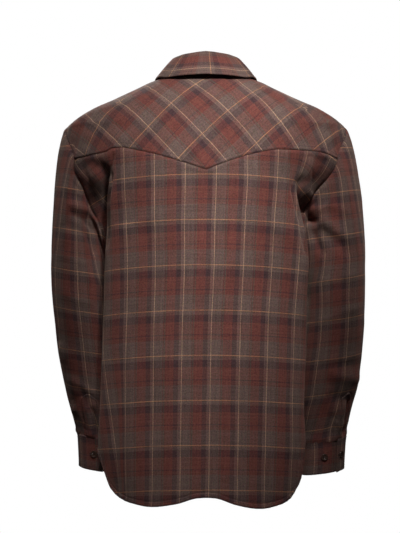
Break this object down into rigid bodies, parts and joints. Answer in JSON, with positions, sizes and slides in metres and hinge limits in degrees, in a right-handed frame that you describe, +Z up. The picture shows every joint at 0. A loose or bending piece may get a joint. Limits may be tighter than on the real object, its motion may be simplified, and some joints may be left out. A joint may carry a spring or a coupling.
{
  "type": "shirt jacket",
  "caption": "Long-sleeved plaid shirt jacket with a pointed back yoke, turned-down collar, buttoned front and lapped cuffs, in its worn form with no wearer.",
  "frame": {"origin": "middle of the neck opening, at the height of the neck seam's shoulder points, where the wearer's shoulders hold the garment", "axes": "+Z up, -Y the garment's front, +X the wearer's left"},
  "size_m": [0.5866, 0.2967, 0.8332],
  "materials": {
    "flannel": "brushed wool-blend twill, yarn-dyed plaid in rust red, charcoal purple, grey-brown and thin cream lines",
    "button": "dark brown four-hole button with a raised rim"
  },
  "bodies": {
    "root": {"back": "flannel", "yoke": "flannel", "front_left": "flannel", "front_right": "flannel", "placket": "flannel", "collar_stand": "flannel", "collar": "flannel", "sleeve_left": "flannel", "sleeve_right": "flannel", "sleeve_placket_left": "flannel", "sleeve_placket_right": "flannel", "cuff_left": "flannel", "cuff_right": "flannel", "button_front_1": "button", "button_front_2": "button", "button_front_3": "button", "button_front_4": "button", "button_front_5": "button", "button_front_6": "button", "button_front_7": "button", "button_collar": "button", "button_cuff_left_fastened": "button", "button_cuff_left_spare": "button", "button_cuff_right_fastened": "button", "button_cuff_right_spare": "button"}
  },
  "joints": []
}
